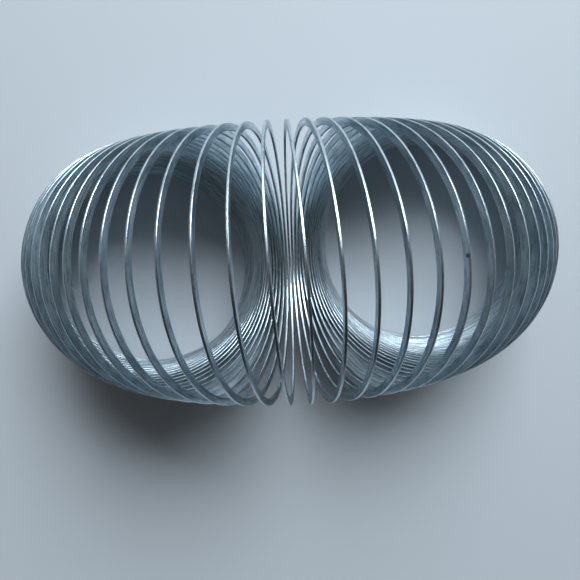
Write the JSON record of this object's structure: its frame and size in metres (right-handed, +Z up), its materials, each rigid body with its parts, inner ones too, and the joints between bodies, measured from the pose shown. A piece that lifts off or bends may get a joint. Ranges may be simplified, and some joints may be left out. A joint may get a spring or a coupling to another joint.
{
  "type": "spring coil toy",
  "caption": "Limp flat-wire metal coil standing as an arch on its two closed ends, whose turns fan out and close up.",
  "frame": {"origin": "on the surface that the toy stands on, under the middle of the whole toy", "axes": "+Z up, +X from the left leg to the right leg, +Y to the back"},
  "size_m": [0.1636, 0.0746, 0.0998],
  "materials": {
    "steel_wire": "bare flat-rolled steel wire, bluish grey, satin with faint draw lines"
  },
  "bodies": {
    "left_leg": {"left_end_turn": "steel_wire", "left_leg_turns": "steel_wire"},
    "arch_turn_01": {"arch_turn_01": "steel_wire"},
    "arch_turn_02": {"arch_turn_02": "steel_wire"},
    "arch_turn_03": {"arch_turn_03": "steel_wire"},
    "arch_turn_04": {"arch_turn_04": "steel_wire"},
    "arch_turn_05": {"arch_turn_05": "steel_wire"},
    "arch_turn_06": {"arch_turn_06": "steel_wire"},
    "arch_turn_07": {"arch_turn_07": "steel_wire"},
    "arch_turn_08": {"arch_turn_08": "steel_wire"},
    "arch_turn_09": {"arch_turn_09": "steel_wire"},
    "arch_turn_10": {"arch_turn_10": "steel_wire"},
    "arch_turn_11": {"arch_turn_11": "steel_wire"},
    "arch_turn_12": {"arch_turn_12": "steel_wire"},
    "arch_turn_13": {"arch_turn_13": "steel_wire"},
    "arch_turn_14": {"arch_turn_14": "steel_wire"},
    "arch_turn_15": {"arch_turn_15": "steel_wire"},
    "arch_turn_16": {"arch_turn_16": "steel_wire"},
    "arch_turn_17": {"arch_turn_17": "steel_wire"},
    "arch_turn_18": {"arch_turn_18": "steel_wire"},
    "arch_turn_19": {"arch_turn_19": "steel_wire"},
    "arch_turn_20": {"arch_turn_20": "steel_wire"},
    "arch_turn_21": {"arch_turn_21": "steel_wire"},
    "arch_turn_22": {"arch_turn_22": "steel_wire"},
    "arch_turn_23": {"arch_turn_23": "steel_wire"},
    "arch_turn_24": {"arch_turn_24": "steel_wire"},
    "arch_turn_25": {"arch_turn_25": "steel_wire"},
    "arch_turn_26": {"arch_turn_26": "steel_wire"},
    "arch_turn_27": {"arch_turn_27": "steel_wire"},
    "arch_turn_28": {"arch_turn_28": "steel_wire"},
    "arch_turn_29": {"arch_turn_29": "steel_wire"},
    "arch_turn_30": {"arch_turn_30": "steel_wire"},
    "arch_turn_31": {"arch_turn_31": "steel_wire"},
    "arch_turn_32": {"arch_turn_32": "steel_wire"},
    "arch_turn_33": {"arch_turn_33": "steel_wire"},
    "arch_turn_34": {"arch_turn_34": "steel_wire"},
    "arch_turn_35": {"arch_turn_35": "steel_wire"},
    "arch_turn_36": {"arch_turn_36": "steel_wire"},
    "arch_turn_37": {"arch_turn_37": "steel_wire"},
    "arch_turn_38": {"arch_turn_38": "steel_wire"},
    "arch_turn_39": {"arch_turn_39": "steel_wire"},
    "arch_turn_40": {"arch_turn_40": "steel_wire"},
    "arch_turn_41": {"arch_turn_41": "steel_wire"},
    "arch_turn_42": {"arch_turn_42": "steel_wire"},
    "arch_turn_43": {"arch_turn_43": "steel_wire"},
    "arch_turn_44": {"arch_turn_44": "steel_wire"},
    "arch_turn_45": {"arch_turn_45": "steel_wire"},
    "arch_turn_46": {"arch_turn_46": "steel_wire"},
    "arch_turn_47": {"arch_turn_47": "steel_wire"},
    "arch_turn_48": {"arch_turn_48": "steel_wire"},
    "right_leg": {"right_leg_turns": "steel_wire", "right_end_turn": "steel_wire"}
  },
  "joints": [
    {"name": "bend_00", "type": "hinge", "parent": "left_leg", "child": "arch_turn_01", "pos_m": [-0.00859, 0.00235, 0.01656], "axis": [0, 1, 0], "range_deg": [-0.7078, 0]},
    {"name": "bend_01", "type": "hinge", "parent": "arch_turn_01", "child": "arch_turn_02", "pos_m": [-0.00858, 0.00235, 0.01725], "axis": [0, 1, 0], "range_deg": [-1.06, 0]},
    {"name": "bend_02", "type": "hinge", "parent": "arch_turn_02", "child": "arch_turn_03", "pos_m": [-0.00856, 0.00235, 0.01796], "axis": [0, 1, 0], "range_deg": [-1.42, 0]},
    {"name": "bend_03", "type": "hinge", "parent": "arch_turn_03", "child": "arch_turn_04", "pos_m": [-0.00852, 0.00235, 0.01868], "axis": [0, 1, 0], "range_deg": [-1.75, 0]},
    {"name": "bend_04", "type": "hinge", "parent": "arch_turn_04", "child": "arch_turn_05", "pos_m": [-0.00846, 0.00235, 0.01941], "axis": [0, 1, 0], "range_deg": [-2.02, 0]},
    {"name": "bend_05", "type": "hinge", "parent": "arch_turn_05", "child": "arch_turn_06", "pos_m": [-0.00837, 0.00235, 0.02015], "axis": [0, 1, 0], "range_deg": [-2.23, 0]},
    {"name": "bend_06", "type": "hinge", "parent": "arch_turn_06", "child": "arch_turn_07", "pos_m": [-0.00825, 0.00235, 0.02091], "axis": [0, 1, 0], "range_deg": [-2.39, 0]},
    {"name": "bend_07", "type": "hinge", "parent": "arch_turn_07", "child": "arch_turn_08", "pos_m": [-0.00809, 0.00235, 0.02167], "axis": [0, 1, 0], "range_deg": [-2.56, 0]},
    {"name": "bend_08", "type": "hinge", "parent": "arch_turn_08", "child": "arch_turn_09", "pos_m": [-0.0079, 0.00235, 0.02243], "axis": [0, 1, 0], "range_deg": [-2.8, 0]},
    {"name": "bend_09", "type": "hinge", "parent": "arch_turn_09", "child": "arch_turn_10", "pos_m": [-0.00767, 0.00235, 0.02319], "axis": [0, 1, 0], "range_deg": [-3.12, 0]},
    {"name": "bend_10", "type": "hinge", "parent": "arch_turn_10", "child": "arch_turn_11", "pos_m": [-0.00739, 0.00235, 0.02396], "axis": [0, 1, 0], "range_deg": [-3.52, 0]},
    {"name": "bend_11", "type": "hinge", "parent": "arch_turn_11", "child": "arch_turn_12", "pos_m": [-0.00706, 0.00235, 0.02471], "axis": [0, 1, 0], "range_deg": [-3.9, 0]},
    {"name": "bend_12", "type": "hinge", "parent": "arch_turn_12", "child": "arch_turn_13", "pos_m": [-0.00668, 0.00235, 0.02545], "axis": [0, 1, 0], "range_deg": [-4.2, 0]},
    {"name": "bend_13", "type": "hinge", "parent": "arch_turn_13", "child": "arch_turn_14", "pos_m": [-0.00624, 0.00235, 0.02617], "axis": [0, 1, 0], "range_deg": [-4.37, 0]},
    {"name": "bend_14", "type": "hinge", "parent": "arch_turn_14", "child": "arch_turn_15", "pos_m": [-0.00573, 0.00235, 0.02686], "axis": [0, 1, 0], "range_deg": [-4.41, 0]},
    {"name": "bend_15", "type": "hinge", "parent": "arch_turn_15", "child": "arch_turn_16", "pos_m": [-0.00517, 0.00235, 0.02751], "axis": [0, 1, 0], "range_deg": [-4.39, 0]},
    {"name": "bend_16", "type": "hinge", "parent": "arch_turn_16", "child": "arch_turn_17", "pos_m": [-0.00456, 0.00235, 0.02813], "axis": [0, 1, 0], "range_deg": [-4.41, 0]},
    {"name": "bend_17", "type": "hinge", "parent": "arch_turn_17", "child": "arch_turn_18", "pos_m": [-0.00389, 0.00235, 0.0287], "axis": [0, 1, 0], "range_deg": [-4.55, 0]},
    {"name": "bend_18", "type": "hinge", "parent": "arch_turn_18", "child": "arch_turn_19", "pos_m": [-0.00318, 0.00235, 0.02923], "axis": [0, 1, 0], "range_deg": [-4.84, 0]},
    {"name": "bend_19", "type": "hinge", "parent": "arch_turn_19", "child": "arch_turn_20", "pos_m": [-0.00242, 0.00235, 0.0297], "axis": [0, 1, 0], "range_deg": [-5.21, 0]},
    {"name": "bend_20", "type": "hinge", "parent": "arch_turn_20", "child": "arch_turn_21", "pos_m": [-0.00161, 0.00235, 0.03009], "axis": [0, 1, 0], "range_deg": [-5.57, 0]},
    {"name": "bend_21", "type": "hinge", "parent": "arch_turn_21", "child": "arch_turn_22", "pos_m": [-0.00076, 0.00235, 0.03041], "axis": [0, 1, 0], "range_deg": [-5.8, 0]},
    {"name": "bend_22", "type": "hinge", "parent": "arch_turn_22", "child": "arch_turn_23", "pos_m": [0.00012, 0.00235, 0.03065], "axis": [0, 1, 0], "range_deg": [-5.84, 0]},
    {"name": "bend_23", "type": "hinge", "parent": "arch_turn_23", "child": "arch_turn_24", "pos_m": [0.00103, 0.00235, 0.03079], "axis": [0, 1, 0], "range_deg": [-5.71, 0]},
    {"name": "bend_24", "type": "hinge", "parent": "arch_turn_24", "child": "arch_turn_25", "pos_m": [0.00195, 0.00235, 0.03084], "axis": [0, 1, 0], "range_deg": [-5.49, 0]},
    {"name": "bend_25", "type": "hinge", "parent": "arch_turn_25", "child": "arch_turn_26", "pos_m": [0.00287, 0.00235, 0.0308], "axis": [0, 1, 0], "range_deg": [-5.27, 0]},
    {"name": "bend_26", "type": "hinge", "parent": "arch_turn_26", "child": "arch_turn_27", "pos_m": [0.00377, 0.00235, 0.03069], "axis": [0, 1, 0], "range_deg": [-5.17, 0]},
    {"name": "bend_27", "type": "hinge", "parent": "arch_turn_27", "child": "arch_turn_28", "pos_m": [0.00467, 0.00235, 0.03049], "axis": [0, 1, 0], "range_deg": [-5.23, 0]},
    {"name": "bend_28", "type": "hinge", "parent": "arch_turn_28", "child": "arch_turn_29", "pos_m": [0.00553, 0.00235, 0.03021], "axis": [0, 1, 0], "range_deg": [-5.37, 0]},
    {"name": "bend_29", "type": "hinge", "parent": "arch_turn_29", "child": "arch_turn_30", "pos_m": [0.00636, 0.00235, 0.02985], "axis": [0, 1, 0], "range_deg": [-5.48, 0]},
    {"name": "bend_30", "type": "hinge", "parent": "arch_turn_30", "child": "arch_turn_31", "pos_m": [0.00715, 0.00235, 0.02942], "axis": [0, 1, 0], "range_deg": [-5.45, 0]},
    {"name": "bend_31", "type": "hinge", "parent": "arch_turn_31", "child": "arch_turn_32", "pos_m": [0.00789, 0.00235, 0.02892], "axis": [0, 1, 0], "range_deg": [-5.25, 0]},
    {"name": "bend_32", "type": "hinge", "parent": "arch_turn_32", "child": "arch_turn_33", "pos_m": [0.00857, 0.00235, 0.02836], "axis": [0, 1, 0], "range_deg": [-4.91, 0]},
    {"name": "bend_33", "type": "hinge", "parent": "arch_turn_33", "child": "arch_turn_34", "pos_m": [0.00919, 0.00235, 0.02775], "axis": [0, 1, 0], "range_deg": [-4.51, 0]},
    {"name": "bend_34", "type": "hinge", "parent": "arch_turn_34", "child": "arch_turn_35", "pos_m": [0.00976, 0.00235, 0.02709], "axis": [0, 1, 0], "range_deg": [-4.16, 0]},
    {"name": "bend_35", "type": "hinge", "parent": "arch_turn_35", "child": "arch_turn_36", "pos_m": [0.01028, 0.00235, 0.02641], "axis": [0, 1, 0], "range_deg": [-3.94, 0]},
    {"name": "bend_36", "type": "hinge", "parent": "arch_turn_36", "child": "arch_turn_37", "pos_m": [0.01074, 0.00235, 0.0257], "axis": [0, 1, 0], "range_deg": [-3.83, 0]},
    {"name": "bend_37", "type": "hinge", "parent": "arch_turn_37", "child": "arch_turn_38", "pos_m": [0.01115, 0.00235, 0.02497], "axis": [0, 1, 0], "range_deg": [-3.79, 0]},
    {"name": "bend_38", "type": "hinge", "parent": "arch_turn_38", "child": "arch_turn_39", "pos_m": [0.01151, 0.00235, 0.02422], "axis": [0, 1, 0], "range_deg": [-3.73, 0]},
    {"name": "bend_39", "type": "hinge", "parent": "arch_turn_39", "child": "arch_turn_40", "pos_m": [0.01181, 0.00235, 0.02346], "axis": [0, 1, 0], "range_deg": [-3.57, 0]},
    {"name": "bend_40", "type": "hinge", "parent": "arch_turn_40", "child": "arch_turn_41", "pos_m": [0.01206, 0.00235, 0.0227], "axis": [0, 1, 0], "range_deg": [-3.3, 0]},
    {"name": "bend_41", "type": "hinge", "parent": "arch_turn_41", "child": "arch_turn_42", "pos_m": [0.01226, 0.00235, 0.02193], "axis": [0, 1, 0], "range_deg": [-2.93, 0]},
    {"name": "bend_42", "type": "hinge", "parent": "arch_turn_42", "child": "arch_turn_43", "pos_m": [0.01242, 0.00235, 0.02117], "axis": [0, 1, 0], "range_deg": [-2.54, 0]},
    {"name": "bend_43", "type": "hinge", "parent": "arch_turn_43", "child": "arch_turn_44", "pos_m": [0.01255, 0.00235, 0.02041], "axis": [0, 1, 0], "range_deg": [-2.19, 0]},
    {"name": "bend_44", "type": "hinge", "parent": "arch_turn_44", "child": "arch_turn_45", "pos_m": [0.01264, 0.00235, 0.01966], "axis": [0, 1, 0], "range_deg": [-1.9, 0]},
    {"name": "bend_45", "type": "hinge", "parent": "arch_turn_45", "child": "arch_turn_46", "pos_m": [0.01271, 0.00235, 0.01892], "axis": [0, 1, 0], "range_deg": [-1.67, 0]},
    {"name": "bend_46", "type": "hinge", "parent": "arch_turn_46", "child": "arch_turn_47", "pos_m": [0.01276, 0.00235, 0.0182], "axis": [0, 1, 0], "range_deg": [-1.46, 0]},
    {"name": "bend_47", "type": "hinge", "parent": "arch_turn_47", "child": "arch_turn_48", "pos_m": [0.01278, 0.00235, 0.01749], "axis": [0, 1, 0], "range_deg": [-1.22, 0]},
    {"name": "bend_48", "type": "hinge", "parent": "arch_turn_48", "child": "right_leg", "pos_m": [0.01279, 0.00235, 0.01679], "axis": [0, 1, 0], "range_deg": [-0.9252, 0]}
  ],
  "couplings": [
    {"joint": "bend_00", "follows": "bend_22", "ratio": 0.12107},
    {"joint": "bend_01", "follows": "bend_22", "ratio": 0.18065},
    {"joint": "bend_02", "follows": "bend_22", "ratio": 0.24228},
    {"joint": "bend_03", "follows": "bend_22", "ratio": 0.29956},
    {"joint": "bend_04", "follows": "bend_22", "ratio": 0.34638},
    {"joint": "bend_05", "follows": "bend_22", "ratio": 0.38108},
    {"joint": "bend_06", "follows": "bend_22", "ratio": 0.40841},
    {"joint": "bend_07", "follows": "bend_22", "ratio": 0.43783},
    {"joint": "bend_08", "follows": "bend_22", "ratio": 0.47873},
    {"joint": "bend_09", "follows": "bend_22", "ratio": 0.53503},
    {"joint": "bend_10", "follows": "bend_22", "ratio": 0.60216},
    {"joint": "bend_11", "follows": "bend_22", "ratio": 0.66833},
    {"joint": "bend_12", "follows": "bend_22", "ratio": 0.71989},
    {"joint": "bend_13", "follows": "bend_22", "ratio": 0.74829},
    {"joint": "bend_14", "follows": "bend_22", "ratio": 0.75498},
    {"joint": "bend_15", "follows": "bend_22", "ratio": 0.75165},
    {"joint": "bend_16", "follows": "bend_22", "ratio": 0.75516},
    {"joint": "bend_17", "follows": "bend_22", "ratio": 0.77942},
    {"joint": "bend_18", "follows": "bend_22", "ratio": 0.82817},
    {"joint": "bend_19", "follows": "bend_22", "ratio": 0.89234},
    {"joint": "bend_20", "follows": "bend_22", "ratio": 0.9537},
    {"joint": "bend_21", "follows": "bend_22", "ratio": 0.99317},
    {"joint": "bend_23", "follows": "bend_22", "ratio": 0.97709},
    {"joint": "bend_24", "follows": "bend_22", "ratio": 0.9394},
    {"joint": "bend_25", "follows": "bend_22", "ratio": 0.90228},
    {"joint": "bend_26", "follows": "bend_22", "ratio": 0.88589},
    {"joint": "bend_27", "follows": "bend_22", "ratio": 0.89528},
    {"joint": "bend_28", "follows": "bend_22", "ratio": 0.9191},
    {"joint": "bend_29", "follows": "bend_22", "ratio": 0.93785},
    {"joint": "bend_30", "follows": "bend_22", "ratio": 0.93378},
    {"joint": "bend_31", "follows": "bend_22", "ratio": 0.8993},
    {"joint": "bend_32", "follows": "bend_22", "ratio": 0.84015},
    {"joint": "bend_33", "follows": "bend_22", "ratio": 0.77204},
    {"joint": "bend_34", "follows": "bend_22", "ratio": 0.71283},
    {"joint": "bend_35", "follows": "bend_22", "ratio": 0.67411},
    {"joint": "bend_36", "follows": "bend_22", "ratio": 0.65633},
    {"joint": "bend_37", "follows": "bend_22", "ratio": 0.64951},
    {"joint": "bend_38", "follows": "bend_22", "ratio": 0.6388},
    {"joint": "bend_39", "follows": "bend_22", "ratio": 0.61195},
    {"joint": "bend_40", "follows": "bend_22", "ratio": 0.56481},
    {"joint": "bend_41", "follows": "bend_22", "ratio": 0.50244},
    {"joint": "bend_42", "follows": "bend_22", "ratio": 0.43563},
    {"joint": "bend_43", "follows": "bend_22", "ratio": 0.375},
    {"joint": "bend_44", "follows": "bend_22", "ratio": 0.32589},
    {"joint": "bend_45", "follows": "bend_22", "ratio": 0.28644},
    {"joint": "bend_46", "follows": "bend_22", "ratio": 0.24976},
    {"joint": "bend_47", "follows": "bend_22", "ratio": 0.20834},
    {"joint": "bend_48", "follows": "bend_22", "ratio": 0.15831}
  ]
}
